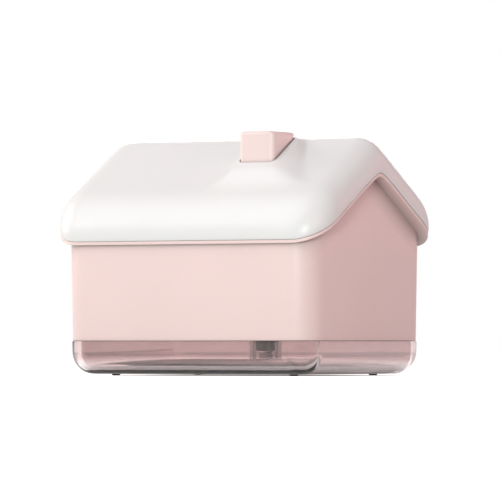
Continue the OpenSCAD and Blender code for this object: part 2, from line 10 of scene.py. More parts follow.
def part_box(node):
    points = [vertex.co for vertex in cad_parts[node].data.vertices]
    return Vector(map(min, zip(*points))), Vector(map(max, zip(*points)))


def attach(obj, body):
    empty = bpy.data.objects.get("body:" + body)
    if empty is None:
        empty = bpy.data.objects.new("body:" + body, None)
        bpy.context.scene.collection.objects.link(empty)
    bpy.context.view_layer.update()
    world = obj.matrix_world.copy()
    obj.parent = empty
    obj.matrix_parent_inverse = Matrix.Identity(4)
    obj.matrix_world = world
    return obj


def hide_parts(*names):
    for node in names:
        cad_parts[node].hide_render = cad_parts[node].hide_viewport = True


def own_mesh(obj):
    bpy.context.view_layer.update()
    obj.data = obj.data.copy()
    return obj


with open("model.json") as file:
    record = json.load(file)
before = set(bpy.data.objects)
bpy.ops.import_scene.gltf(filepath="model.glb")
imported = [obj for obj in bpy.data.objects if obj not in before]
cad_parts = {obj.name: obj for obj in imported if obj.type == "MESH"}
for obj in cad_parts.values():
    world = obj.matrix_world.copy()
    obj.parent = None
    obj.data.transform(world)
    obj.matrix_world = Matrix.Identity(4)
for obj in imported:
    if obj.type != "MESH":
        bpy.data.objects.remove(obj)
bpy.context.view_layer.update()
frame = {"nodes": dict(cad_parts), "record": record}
MM = 0.001
FULL_TURN = 2 * math.pi
QUARTER_TURN = math.pi / 2
SAME_PLACE = 1e-7
SAME_LEVEL = 1e-6
ABOVE_ALL = 150 * MM
SOFT_EDGE = 0.5 * MM
SMOOTH_BELOW = math.radians(35)

# ---- Driving sizes, the same as the part's own -------------------------------------------
# Roof: its slopes, its puffed edge and the lip that the edge ends in.
ROOF_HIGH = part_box("roof_cap")[1]
ROOF_CORNER = 18 * MM
RIDGE_Z = 123.6 * MM
PITCH = 0.6
RIDGE_SOFT = 2.8 * MM
RIM_SOFT = 1.4 * MM
EDGE_IN = 14 * MM
EDGE_DROP = 14.6 * MM
LIP_ANGLE = math.radians(-13)
LIP_SOFT = 0.35 * MM
ROOF_T = 2.2 * MM
LINER_T = 2 * MM
LINER_INSET = 0.1 * MM

STRAIGHT_X = ROOF_HIGH[0] - ROOF_CORNER
STRAIGHT_Y = ROOF_HIGH[1] - ROOF_CORNER
CROWN_R = ROOF_CORNER - EDGE_IN
LIP_DROP = EDGE_DROP * (1 - math.sin(LIP_ANGLE))

# Drift: how far it climbs, and where it starts, ends and fades beside the chimney.
DRIFT_H = 6.3 * MM
DRIFT_SIDE = 11.5 * MM
DRIFT_FADE = 6.5 * MM
DRIFT_FLARE = 0.7
DRIFT_TAPER = 0.45
DRIFT_FRONT = -48.5 * MM
DRIFT_FULL = -39.5 * MM
DRIFT_BACK = -15 * MM
DRIFT_END = 4 * MM
DRIFT_LEE = 0.72
RAMP_SOFT = 0.08

# House walls.
HOUSE_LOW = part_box("house_shell")[0]
DRAFT = 0.012
WALL_T = 2.2 * MM
CORNER_R = 14.3 * MM
EAVE_Z = 66 * MM
HALF_L = 75.2 * MM
HALF_D = 61.4 * MM
SLOT_GAP = 0.3 * MM
CUTTER_REACH = 4 * MM
WALL_FOOT_FOLD = 1.0

# Chimney: a square stack on a round neck, with a mist bore and a shallow mouth.
CHIMNEY_LOW, CHIMNEY_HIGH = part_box("chimney_nozzle")
CHIMNEY_X = (CHIMNEY_LOW[0] + CHIMNEY_HIGH[0]) / 2
CHIMNEY_Y = (CHIMNEY_LOW[1] + CHIMNEY_HIGH[1]) / 2
CHIMNEY_W = CHIMNEY_HIGH[0] - CHIMNEY_LOW[0]
CHIMNEY_D = CHIMNEY_HIGH[1] - CHIMNEY_LOW[1]
CHIMNEY_CORNER_R = 2.6 * MM
CHIMNEY_TOP_R = 2 * MM
POCKET_CORNER_R = 3.1 * MM
POCKET_LOW = 60 * MM
ROOF_POCKET_GAP = 0.5 * MM
LINER_POCKET_GAP = 1.2 * MM
SEAT_TOP_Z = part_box("atomiser_seat")[1][2]
NECK_Z = CHIMNEY_LOW[2]
NECK_R = 8 * MM
NECK_CORE_R = 4 * MM
NECK_GROOVE = 0.8 * MM
MIST_BORE_R = 6 * MM
MIST_BORE_LOW = 80 * MM
MOUTH_R = 7 * MM
MOUTH_DEPTH = 1.4 * MM
SEAL_LOW, SEAL_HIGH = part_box("nozzle_seal")

# Power button: a dished cap, a collar behind the wall and a stem to the switch.
BUTTON_LOW, BUTTON_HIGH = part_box("power_button")
BUTTON_X = (BUTTON_LOW[0] + BUTTON_HIGH[0]) / 2
BUTTON_Z = (BUTTON_LOW[2] + BUTTON_HIGH[2]) / 2
BUTTON_R = 5.5 * MM
BUTTON_OUT = 1.4 * MM
BUTTON_PLAY = 0.35 * MM
BUTTON_SOFT = 0.15 * MM
DISH_R = BUTTON_R * 0.82
DISH_DEPTH = 0.6 * MM
COLLAR_R = BUTTON_R + 1.4 * MM
COLLAR_FRONT = -2.4 * MM
COLLAR_BACK = -3.4 * MM
STEM_R = 1.6 * MM
STEM_END = -5.7 * MM

# Water tank and its feet.
TANK_LOW, TANK_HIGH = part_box("water_tank")
SEAM_Z = 17.9 * MM
TANK_EDGE_R = 11.5 * MM
TANK_T = 2 * MM
TANK_GAP = 0.5 * MM
TANK_FLOOR_T = 4.2 * MM
TANK_INNER_EDGE_R = 6.8 * MM
FOOT_R = 2.2 * MM
FOOT_SOFT = 0.3 * MM

# Wick sleeve: a tube with a grooved neck, two bayonet lugs, four inner ribs and a slotted foot.
SLEEVE_LOW, SLEEVE_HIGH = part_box("wick_sleeve")
SLEEVE_R = (SLEEVE_HIGH[1] - SLEEVE_LOW[1]) / 2
SLEEVE_T = 1.6 * MM
SLEEVE_FLOOR_T = 1.4 * MM
SLEEVE_FOOT_SOFT = 0.8 * MM
SLEEVE_RIM_SOFT = 0.3 * MM
DRAIN_R = 2 * MM
SEAL_RING_LOW, SEAL_RING_HIGH = (corner[2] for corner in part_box("sleeve_seal"))
RING_GROOVE = 0.6 * MM
LUG_Z = 49.5 * MM
LUG_T = 2 * MM
LUG_OUT = 2 * MM
LUG_ANGLE = math.radians(40)
RIB_R = 5.35 * MM
RIB_T = 1 * MM
WATER_SLOT_HALF_W = 1.5 * MM
WATER_SLOT_HALF_H = 1.75 * MM
WATER_SLOT_RISE = 0.75 * MM
OVERLAP = 0.4 * MM

# Wick and its spring.
WICK_SOFT = 0.7 * MM
WICK_RIPPLE = 0.04 * MM
WICK_RINGS = 40
WIRE_R = 0.4 * MM
COIL_TURNS = 2
COIL_STEPS = 40


def half_l(z):
    """Half the outer length of the drafted walls at a height."""
    return HALF_L - DRAFT * (EAVE_Z - z)


def half_d(z):
    """Half the outer depth of the drafted walls at a height."""
    return HALF_D - DRAFT * (EAVE_Z - z)


def smooth(t):
    """A soft step from 0 to 1."""
    c = min(1.0, max(0.0, t))
    return c * c * (3 - 2 * c)


def ramp_step(t):
    """A step from 0 to 1 along a straight ramp with soft ends."""
    return (math.hypot(t, RAMP_SOFT) - math.hypot(t - 1, RAMP_SOFT) + 1) / 2


def slope_z(y, drop=0.0):
    """Height of the main slopes at a depth y; surfaces further down meet more softly."""
    soft = RIDGE_SOFT + RIM_SOFT * drop / LIP_DROP
    return RIDGE_Z + PITCH * (RIDGE_SOFT - math.hypot(y, soft))


def drift(x, y):
    """How far the roof climbs above its slope round the chimney."""
    width = (DRIFT_SIDE + DRIFT_FLARE * max(0.0, DRIFT_FULL - y)
             - DRIFT_TAPER * max(0.0, y - DRIFT_BACK))
    lee = DRIFT_LEE * max(0.0, DRIFT_BACK - y) if x > CHIMNEY_X else 0.0
    side = 1 - smooth((abs(x - CHIMNEY_X) - width) / (DRIFT_FADE + lee))
    front = ramp_step((y - DRIFT_FRONT) / (DRIFT_FULL - DRIFT_FRONT))
    back = 1 - smooth((y - DRIFT_BACK) / (DRIFT_END - DRIFT_BACK))
    return DRIFT_H * side * front * back


# ---- Camera, light and floor -------------------------------------------------------------
CAMERA_TURN = math.radians(31.0)
CAMERA_PITCH = 0.0178
CAMERA_DISTANCE = 2.763
CAMERA_Z = 16.62 * MM
CAMERA_RIGHT = 2.68 * MM
SENSOR_MM = 36
LENS_MM = 5261 / 500 * SENSOR_MM
FAR_CLIP = 50

AIM_Z = 60 * MM
AMBIENT = 0.2
AMBIENT_TONE = (1.0, 0.93, 0.93)
BACKDROP_GLOW = 1.0
PAPER_TONE = (0.6, 0.6, 0.6)
FLOOR_HALF = 4
# A shadow painted into the floor's glow under the tank: its reach, its darkest level and its
# samples.
PAINTED_SHADOW_REACH = 20 * MM
PAINTED_SHADOW_LEVEL = 0.15
PAINTED_SHADOW_SAMPLES = 8

# Name, turn, height, distance, size, watts and colour of each lamp.
SOFTBOXES = (
    ("key_softbox", -31, 50, 1.5, 1.15, 8.7, (0.95, 0.94, 1.0)),
    ("sun_softbox", -42, 27, 1.7, 0.25, 1.6, (1, 0.9, 0.8)),
    ("left_softbox", -85, 20, 1.6, 0.8, 9.6, (1, 0.9, 0.8)),
    ("corner_softbox", 21, 7, 1.7, 0.4, 11.4, (0.8, 1, 0.96)),
    ("right_softbox", 57, 16, 1.7, 0.7, 4.9, (1, 0.62, 0.62)),
    ("rim_softbox", 149, 15, 1.7, 0.8, 3.4, (1, 0.4, 0.42)),
    ("top_softbox", 0, 88, 1.5, 0.8, 0.8, (1, 0.7, 0.7)),
    ("back_softbox", 208, 18, 1.7, 0.6, 6.0, (1, 1, 1)),
)


def studio_camera():
    """A long lens, turned to the right of the front and nearly level."""
    camera = bpy.data.cameras.new("studio_camera")
    camera.sensor_width = SENSOR_MM
    camera.lens = LENS_MM
    camera.clip_end = FAR_CLIP
    rig = bpy.data.objects.new("studio_camera", camera)
    right = Vector((math.cos(CAMERA_TURN), math.sin(CAMERA_TURN), 0))
    ahead = Vector((-math.sin(CAMERA_TURN), math.cos(CAMERA_TURN), 0))
    rig.location = right * CAMERA_RIGHT - ahead * CAMERA_DISTANCE + Vector((0, 0, CAMERA_Z))
    rig.rotation_euler = (QUARTER_TURN + CAMERA_PITCH, 0, CAMERA_TURN)
    bpy.context.scene.collection.objects.link(rig)
    bpy.context.scene.camera = rig


def softbox(name, turn, height, distance, size, watts, colour):
    """A square lamp aimed at the house: turn is counted from the front to the right, in degrees."""
    around, up = math.radians(turn), math.radians(height)
    aim = Vector((0, 0, AIM_Z))
    toward = Vector((math.sin(around) * math.cos(up), -math.cos(around) * math.cos(up),
                     math.sin(up)))
    lamp = bpy.data.lights.new(name, "AREA")
    lamp.size = size
    lamp.energy = watts
    lamp.color = colour
    rig = bpy.data.objects.new(name, lamp)
    rig.location = aim + toward * distance
    rig.rotation_euler = (-toward).to_track_quat("-Z", "Y").to_euler()
    bpy.context.scene.collection.objects.link(rig)


def greater(nodes, links, first, second):
    node = nodes.new("ShaderNodeMath")
    node.operation = "MAXIMUM"
    links.new(first, node.inputs[0])
    links.new(second, node.inputs[1])
    return node.outputs[0]


def seen_directly(nodes, links):
    """1 for rays from the camera, and for those that glass and gloss send on."""
    ray = nodes.new("ShaderNodeLightPath").outputs
    camera_or_gloss = greater(nodes, links, ray["Is Camera Ray"], ray["Is Glossy Ray"])
    return greater(nodes, links, camera_or_gloss, ray["Is Transmission Ray"])


def backdrop(nodes, colour, strength):
    glow = nodes.new("ShaderNodeBackground")
    glow.inputs["Color"].default_value = (*colour, 1)
    glow.inputs["Strength"].default_value = strength
    return glow.outputs[0]


def studio_world():
    """A weak even light for the object, and plain white for all that looks past it."""
    world = bpy.data.worlds.new("studio")
    bpy.context.scene.world = world
    world.use_nodes = True
    nodes, links = world.node_tree.nodes, world.node_tree.links
    nodes.clear()
    mix = nodes.new("ShaderNodeMixShader")
    links.new(seen_directly(nodes, links), mix.inputs["Fac"])
    links.new(backdrop(nodes, AMBIENT_TONE, AMBIENT), mix.inputs[1])
    links.new(backdrop(nodes, (1, 1, 1), BACKDROP_GLOW), mix.inputs[2])
    links.new(mix.outputs[0], nodes.new("ShaderNodeOutputWorld").inputs["Surface"])


def studio_floor():
    """White paper, whose glow holds a painted contact shadow: it darkens only where the tank stands
    close above it.
    """
    bm = bmesh.new()
    bmesh.ops.create_grid(bm, x_segments=1, y_segments=1, size=FLOOR_HALF)
    floor = piece_from(bm, "studio_floor", smooth_angle=None)
    material = bpy.data.materials.new("studio_paper")
    material.use_nodes = True
    nodes, links = material.node_tree.nodes, material.node_tree.links
    nodes.clear()
    paper = nodes.new("ShaderNodeBsdfDiffuse")
    paper.inputs["Color"].default_value = (*PAPER_TONE, 1)
    # Painted shadow: the glow is dimmed where the tank stands close above the floor.
    painted_shadow = nodes.new("ShaderNodeAmbientOcclusion")
    painted_shadow.inputs["Distance"].default_value = PAINTED_SHADOW_REACH
    painted_shadow.samples = PAINTED_SHADOW_SAMPLES
    level = spread_range(nodes, links, painted_shadow.outputs["AO"],
                         PAINTED_SHADOW_LEVEL * BACKDROP_GLOW, BACKDROP_GLOW)
    strength = nodes.new("ShaderNodeMath")
    strength.operation = "MULTIPLY"
    links.new(seen_directly(nodes, links), strength.inputs[0])
    links.new(level, strength.inputs[1])
    shine = nodes.new("ShaderNodeEmission")
    links.new(strength.outputs[0], shine.inputs["Strength"])
    add = nodes.new("ShaderNodeAddShader")
    links.new(paper.outputs[0], add.inputs[0])
    links.new(shine.outputs[0], add.inputs[1])
    links.new(add.outputs[0], nodes.new("ShaderNodeOutputMaterial").inputs["Surface"])
    floor.data.materials.append(material)


# ---- Modelling helpers -------------------------------------------------------------------
def piece_from(bm, name, smooth_angle=SMOOTH_BELOW):
    """Turns a bmesh into an object whose place is in its mesh."""
    mesh = bpy.data.meshes.new(name)
    bm.to_mesh(mesh)
    bm.free()
    piece = bpy.data.objects.new(name, mesh)
    bpy.context.scene.collection.objects.link(piece)
    if smooth_angle is not None:
        mesh.shade_smooth()
        mesh.set_sharp_from_angle(angle=smooth_angle)
    return piece


def move(bm, x=0.0, y=0.0, z=0.0):
    bmesh.ops.translate(bm, vec=(x, y, z), verts=bm.verts)


def swing(bm, angle, axis):
    """Turns the whole mesh about an axis through the origin."""
    bmesh.ops.rotate(bm, cent=(0, 0, 0), matrix=Matrix.Rotation(angle, 3, axis), verts=bm.verts)


def grown_verts(result):
    """The vertices that an extrusion has made."""
    return [g for g in result["geom"] if isinstance(g, bmesh.types.BMVert)]


def upright_edges(bm):
    return [e for e in bm.edges
            if (e.verts[0].co - e.verts[1].co).xy.length < SAME_PLACE]


def level_edges(bm, z):
    return [e for e in bm.edges if all(abs(v.co.z - z) < SAME_LEVEL for v in e.verts)]


def folded_edges(bm, degrees):
    """Edges between two faces that meet at more than an angle."""
    return [e for e in bm.edges
            if len(e.link_faces) == 2 and e.calc_face_angle() > math.radians(degrees)]


def top_face(bm, z):
    """The widest flat face at a height z that looks up."""
    return max((f for f in bm.faces if abs(f.calc_center_median().z - z) < SAME_LEVEL
                and f.normal.z > 0.9), key=lambda f: f.calc_area())


def round_edges(bm, parts, radius, segments, affect="EDGES"):
    bmesh.ops.bevel(bm, geom=parts, offset=radius, offset_type="OFFSET", segments=segments,
                    profile=0.5, affect=affect, clamp_overlap=False, material=-1)


def block(half_x, half_y, half_z):
    bm = bmesh.new()
    bmesh.ops.create_cube(bm, size=2)
    bmesh.ops.scale(bm, vec=(half_x, half_y, half_z), verts=bm.verts)
    return bm


def round_block(half_x, half_y, low, high, radius, segments):
    """An upright block with round corners."""
    bm = block(half_x, half_y, (high - low) / 2)
    move(bm, z=(high + low) / 2)
    round_edges(bm, upright_edges(bm), radius, segments)
    return bm


def round_plate(half_x, half_y, radius, segments):
    """A flat sheet with round corners."""
    bm = bmesh.new()
    bmesh.ops.create_grid(bm, x_segments=1, y_segments=1, size=1)
    bmesh.ops.scale(bm, vec=(half_x, half_y, 1), verts=bm.verts)
    round_edges(bm, bm.verts[:], radius, segments, affect="VERTICES")
    return bm


def slice_along(bm, axis, places):
    """Cuts the mesh across an axis at each of the places, so that it can bend there."""
    normal = Vector((0, 0, 0))
    normal[axis] = 1
    for place in places:
        bmesh.ops.bisect_plane(bm, geom=bm.verts[:] + bm.edges[:] + bm.faces[:],
                               plane_co=normal * place, plane_no=normal, dist=SAME_PLACE)


def steps(start, end, count):
    return [start + (end - start) * k / count for k in range(count + 1)]


def turned(points, centre, segments=64):
    """A solid turned on a lathe from an outline of (radius, height) points.

    An outline that starts and ends on the axis is left open there, and any other is closed."""
    bm = bmesh.new()
    verts = [bm.verts.new((centre[0] + radius, centre[1], height)) for radius, height in points]
    edges = [bm.edges.new((a, b)) for a, b in zip(verts, verts[1:])]
    if points[0][0] > 0:
        edges.append(bm.edges.new((verts[-1], verts[0])))
    bmesh.ops.spin(bm, geom=verts + edges, cent=(centre[0], centre[1], 0), axis=(0, 0, 1),
                   angle=FULL_TURN, steps=segments, use_merge=True, use_duplicate=False)
    bmesh.ops.remove_doubles(bm, verts=bm.verts, dist=SAME_PLACE)
    bmesh.ops.recalc_face_normals(bm, faces=bm.faces)
    return bm


def post(radius, low, high, centre, segments):
    """A plain round solid, for cutting holes."""
    bm = bmesh.new()
    bmesh.ops.create_cone(bm, cap_ends=True, segments=segments, radius1=radius, radius2=radius,
                          depth=high - low)
    move(bm, centre[0], centre[1], (low + high) / 2)
    return bm


def combine(piece, other, operation):
    """Joins the other object to the piece, or cuts it out, and removes it."""
    cut = piece.modifiers.new("combine", "BOOLEAN")
    cut.operation = operation
    cut.solver = "EXACT"
    cut.object = other
    evaluated = piece.evaluated_get(bpy.context.evaluated_depsgraph_get())
    mesh = bpy.data.meshes.new_from_object(evaluated)
    piece.modifiers.clear()
    old = piece.data
    piece.data = mesh
    bpy.data.meshes.remove(old)
    bpy.data.objects.remove(other)


def cut_away(piece, cutter):
    combine(piece, cutter, "DIFFERENCE")


def join_on(piece, other):
    combine(piece, other, "UNION")


# ---- Materials ---------------------------------------------------------------------------
# Scales of the patterns on the pieces, in repeats per metre.
TONE_SCALE = 14
CLEAR_TONE_SCALE = 18
POLISH_SCALE = 60
FLOW_SCALE = 30
SPARK_GRAIN_SCALE = 2200
BRUSH_SCALE = 900
FIBRE_SCALE = 1500

PINK = (0.90, 0.695, 0.67)
CHIMNEY_PINK = (0.87, 0.69, 0.665)
SNOW = (0.83, 0.815, 0.81)
TANK_TINT = (0.56, 0.44, 0.435)
# The tank's tint is painted paler toward its foot, as painted light on the thick base.
TANK_PAINTED_LIGHT_TINT = (0.80, 0.74, 0.74)
PAINTED_LIGHT_LOW = TANK_LOW[2] + 5 * MM
PAINTED_LIGHT_HIGH = TANK_LOW[2] + 8 * MM
SLEEVE_TINT = (0.97, 0.95, 0.95)
ACRYLIC_INDEX = 1.49
SLEEVE_INDEX = 1.7


def shader(name):
    material = bpy.data.materials.new(name)
    material.use_nodes = True
    nodes, links = material.node_tree.nodes, material.node_tree.links
    return material, nodes, links, nodes["Principled BSDF"]


def object_noise(nodes, links, scale, detail=2.0):
    """A cloudy pattern that keeps its place on the piece."""
    place = nodes.new("ShaderNodeTexCoord")
    noise = nodes.new("ShaderNodeTexNoise")
    noise.inputs["Scale"].default_value = scale
    noise.inputs["Detail"].default_value = detail
    links.new(place.outputs["Object"], noise.inputs["Vector"])
    return noise.outputs["Fac"]


def ramp(nodes, links, source, dark, light, low=0.3, high=0.7):
    """Blends from a dark colour to a light one as the source climbs from low to high."""
    stops = nodes.new("ShaderNodeValToRGB")
    stops.color_ramp.elements[0].position = low
    stops.color_ramp.elements[1].position = high
    stops.color_ramp.elements[0].color = (*dark, 1)
    stops.color_ramp.elements[1].color = (*light, 1)
    links.new(source, stops.inputs["Fac"])
    return stops.outputs["Color"]


def tone_range(colour, darker, lighter):
    """The colour made darker and lighter, as factors of itself."""
    return [c * darker for c in colour], [min(1, c * lighter) for c in colour]


def spread_range(nodes, links, source, low, high):
    """Stretches a source that runs from 0 to 1 to another range."""
    span = nodes.new("ShaderNodeMapRange")
    span.inputs["To Min"].default_value = low
    span.inputs["To Max"].default_value = high
    links.new(source, span.inputs["Value"])
    return span.outputs["Result"]


def bump(nodes, links, source, height):
    relief = nodes.new("ShaderNodeBump")
    relief.inputs["Strength"].default_value = 1.0
    relief.inputs["Distance"].default_value = height
    links.new(source, relief.inputs["Height"])
    return relief.outputs["Normal"]


def paint_shade_near_surfaces(nodes, links, colour, painted_shade_reach):
    """Paints shade into a colour: darkens it where another surface stands closer than the reach."""
    painted_shade = nodes.new("ShaderNodeAmbientOcclusion")
    painted_shade.samples = 12
    painted_shade.inputs["Distance"].default_value = painted_shade_reach
    links.new(colour, painted_shade.inputs["Color"])
    return painted_shade.outputs["Color"]


def moulded(name, colour, rough, relief=0.012 * MM, shade=0.03, painted_shade_reach=0.0):
    """Moulded plastic: a fine spark-eroded grain, and a slow drift in tone and in polish; with a
    reach, painted shade where other surfaces stand close.
    """
    material, nodes, links, surface = shader(name)
    slow = object_noise(nodes, links, TONE_SCALE)
    tone = ramp(nodes, links, slow, *tone_range(colour, 1 - shade, 1 + shade))
    # Painted shade: the colour darkens where other surfaces stand close.
    if painted_shade_reach:
        tone = paint_shade_near_surfaces(nodes, links, tone, painted_shade_reach)
    links.new(tone, surface.inputs["Base Color"])
    worn = object_noise(nodes, links, POLISH_SCALE)
    polish = spread_range(nodes, links, worn, rough * 0.88, rough * 1.12)
    links.new(polish, surface.inputs["Roughness"])
    fine = object_noise(nodes, links, SPARK_GRAIN_SCALE)
    links.new(bump(nodes, links, fine, relief), surface.inputs["Normal"])
    return material


def paint_light_below(nodes, links, colour, pale, low, high):
    """Fades a colour into a paler one toward the foot of the piece, where it is thickest: painted
    light that brightens the base.
    """
    place = nodes.new("ShaderNodeTexCoord")
    parts = nodes.new("ShaderNodeSeparateXYZ")
    links.new(place.outputs["Object"], parts.inputs["Vector"])
    climb = nodes.new("ShaderNodeMapRange")
    climb.inputs["From Min"].default_value = low
    climb.inputs["From Max"].default_value = high
    links.new(parts.outputs["Z"], climb.inputs["Value"])
    # Inputs 0, 6 and 7 of a colour mix are its share and two colours, and output 2 is the blend.
    blend = nodes.new("ShaderNodeMix")
    blend.data_type = "RGBA"
    blend.inputs[6].default_value = (*pale, 1)
    links.new(climb.outputs["Result"], blend.inputs[0])
    links.new(colour, blend.inputs[7])
    return blend.outputs[2]


def clear_moulding(name, tint, painted_light_tint):
    """Polished clear plastic, with faint flow marks that bend what is seen through it, and painted
    light that makes its tint paler toward the foot.
    """
    material, nodes, links, surface = shader(name)
    surface.inputs["Transmission Weight"].default_value = 1.0
    surface.inputs["IOR"].default_value = ACRYLIC_INDEX
    surface.inputs["Roughness"].default_value = 0.03
    tone = object_noise(nodes, links, CLEAR_TONE_SCALE)
    clear = ramp(nodes, links, tone, *tone_range(tint, 0.985, 1.01))
    # Painted light: the tint fades paler toward the foot.
    clear = paint_light_below(nodes, links, clear, painted_light_tint, PAINTED_LIGHT_LOW, PAINTED_LIGHT_HIGH)
    links.new(clear, surface.inputs["Base Color"])
    flow = object_noise(nodes, links, FLOW_SCALE, detail=1.0)
    links.new(bump(nodes, links, flow, 0.02 * MM), surface.inputs["Normal"])
    let_lamps_through(nodes, links, surface, tint)
    return material


def clear_tube(name, colour):
    """Thin clear plastic: hardly there where it faces the eye, and paler toward its outline."""
    material, nodes, links, surface = shader(name)
    tone = object_noise(nodes, links, POLISH_SCALE)
    clear = ramp(nodes, links, tone, *tone_range(colour, 0.97, 1.0))
    links.new(clear, surface.inputs["Base Color"])
    surface.inputs["Roughness"].default_value = 0.08
    surface.inputs["IOR"].default_value = SLEEVE_INDEX
    outline = nodes.new("ShaderNodeLayerWeight")
    outline.inputs["Blend"].default_value = 0.4
    cover = spread_range(nodes, links, outline.outputs["Facing"], 0.03, 0.6)
    links.new(cover, surface.inputs["Alpha"])
    let_lamps_through(nodes, links, surface, colour)
    return material


def let_lamps_through(nodes, links, surface, tint):
    """Light from the lamps passes the clear wall and reaches what is behind it.

    A wall has two skins, and each takes half of the wall's tint."""
    path = nodes.new("ShaderNodeLightPath")
    open_way = nodes.new("ShaderNodeBsdfTransparent")
    open_way.inputs["Color"].default_value = (*[math.sqrt(c) for c in tint], 1)
    mix = nodes.new("ShaderNodeMixShader")
    links.new(path.outputs["Is Shadow Ray"], mix.inputs["Fac"])
    links.new(surface.outputs["BSDF"], mix.inputs[1])
    links.new(open_way.outputs["BSDF"], mix.inputs[2])
    links.new(mix.outputs["Shader"], nodes["Material Output"].inputs["Surface"])


def bright_metal(name, colour, rough):
    """Drawn or rolled metal, with a fine grain in its tone and its polish."""
    material, nodes, links, surface = shader(name)
    surface.inputs["Metallic"].default_value = 1.0
    grain = object_noise(nodes, links, BRUSH_SCALE)
    tone = ramp(nodes, links, grain, *tone_range(colour, 0.9, 1.0))
    links.new(tone, surface.inputs["Base Color"])
    polish = spread_range(nodes, links, grain, rough * 0.8, rough * 1.25)
    links.new(polish, surface.inputs["Roughness"])
    return material


def cotton(name, colour):
    """Pressed damp cotton with a fibrous skin."""
    material, nodes, links, surface = shader(name)
    fibre = object_noise(nodes, links, FIBRE_SCALE, detail=4.0)
    tone = ramp(nodes, links, fibre, *tone_range(colour, 0.7, 1.0), low=0.35, high=0.65)
    links.new(tone, surface.inputs["Base Color"])
    links.new(bump(nodes, links, fibre, 0.15 * MM), surface.inputs["Normal"])
    surface.inputs["Roughness"].default_value = 0.85
    return material


FINISHES = {
    # The reach on the white, pink and chimney plastics paints shade into their colour under the
    # eaves and beside other parts.
    "roof_white": moulded("snow_white_plastic", SNOW, 0.34, relief=0.006 * MM, shade=0.01,
                          painted_shade_reach=2 * MM),
    "house_pink": moulded("house_pink_plastic", PINK, 0.40, shade=0.015, painted_shade_reach=12 * MM),
    "chimney_pink": moulded("chimney_pink_plastic", CHIMNEY_PINK, 0.38, shade=0.02,
                            painted_shade_reach=2 * MM),
    "tank_clear": clear_moulding("clear_tank_plastic", TANK_TINT, TANK_PAINTED_LIGHT_TINT),
    "sleeve_clear": clear_tube("clear_sleeve_plastic", SLEEVE_TINT),
    "foot_rubber": moulded("foot_rubber", (0.02, 0.02, 0.02), 0.7, relief=0.03 * MM, shade=0.2),
    "silicone": moulded("soft_silicone", (0.72, 0.72, 0.70), 0.5, relief=0.02 * MM),
    "steel": bright_metal("bright_steel", (0.62, 0.62, 0.63), 0.25),
    "inner_white": moulded("inner_white_plastic", (0.74, 0.74, 0.73), 0.45),
    "disc_brass": bright_metal("disc_brass", (0.75, 0.58, 0.28), 0.2),
    "board_green": moulded("board_lacquer", (0.02, 0.14, 0.06), 0.3, shade=0.2),
    "parts_black": moulded("parts_black", (0.025, 0.025, 0.028), 0.4, shade=0.2),
    "wire_red": moulded("wire_red", (0.35, 0.03, 0.03), 0.4, shade=0.1),
    "wick_cotton": cotton("wick_cotton", (0.07, 0.075, 0.065)),
}


def finish(piece, slot, body, replaced):
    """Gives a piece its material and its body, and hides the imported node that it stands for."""
    piece.data.materials.clear()
    piece.data.materials.append(FINISHES[slot])
    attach(piece, body)
    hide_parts(replaced)


def dress_cad_nodes():
    """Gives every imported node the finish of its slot; the modelled shells replace some later."""
    for part in frame["record"]["subparts"]:
        node = frame["nodes"][part["node"]]
        node.data.materials.clear()
        node.data.materials.append(FINISHES[part["material_slot"]])


# ---- Roof --------------------------------------------------------------------------------
EDGE_ANGLES = [math.radians(a) for a in (81, 72, 63, 54, 45, 36, 27, 18, 9, 0, -7)] + [LIP_ANGLE]
FINE_STEP = 1.6 * MM
COARSE_STEP = 6 * MM
RIDGE_HALF = 6 * MM


def drift_slices():
    """Places to slice the roof: coarsely on the left, and finely across the drift and its lee."""
    left = CHIMNEY_X - DRIFT_SIDE - DRIFT_FADE - DRIFT_FLARE * (DRIFT_FULL - DRIFT_FRONT)
    return (steps(-STRAIGHT_X, left, int((left + STRAIGHT_X) / COARSE_STEP))[:-1]
            + steps(left, STRAIGHT_X, int((STRAIGHT_X - left) / FINE_STEP)))


def ridge_slices():
    """Places to slice the slopes: closest where they bend over the ridge."""
    front = steps(-STRAIGHT_Y, -RIDGE_HALF, 26)[:-1]
    ridge = steps(-RIDGE_HALF, RIDGE_HALF, 14)
    back = steps(RIDGE_HALF, STRAIGHT_Y, 10)[1:]
    return front + ridge + back


def on_corner_line(point, radius):
    """Moves a plan point straight out from the roof's corner line to a radius."""
    core = Vector((min(STRAIGHT_X, max(-STRAIGHT_X, point.x)),
                   min(STRAIGHT_Y, max(-STRAIGHT_Y, point.y)), 0))
    out = Vector((point.x, point.y, 0)) - core
    return core + out.normalized() * radius


def chimney_pocket(gap, name):
    """A cutter for the square hole that the chimney stands in."""
    bm = round_block(CHIMNEY_W / 2 + gap, CHIMNEY_D / 2 + gap, POCKET_LOW, ABOVE_ALL,
                     POCKET_CORNER_R, segments=8)
    move(bm, CHIMNEY_X, CHIMNEY_Y)
    return piece_from(bm, name, smooth_angle=None)


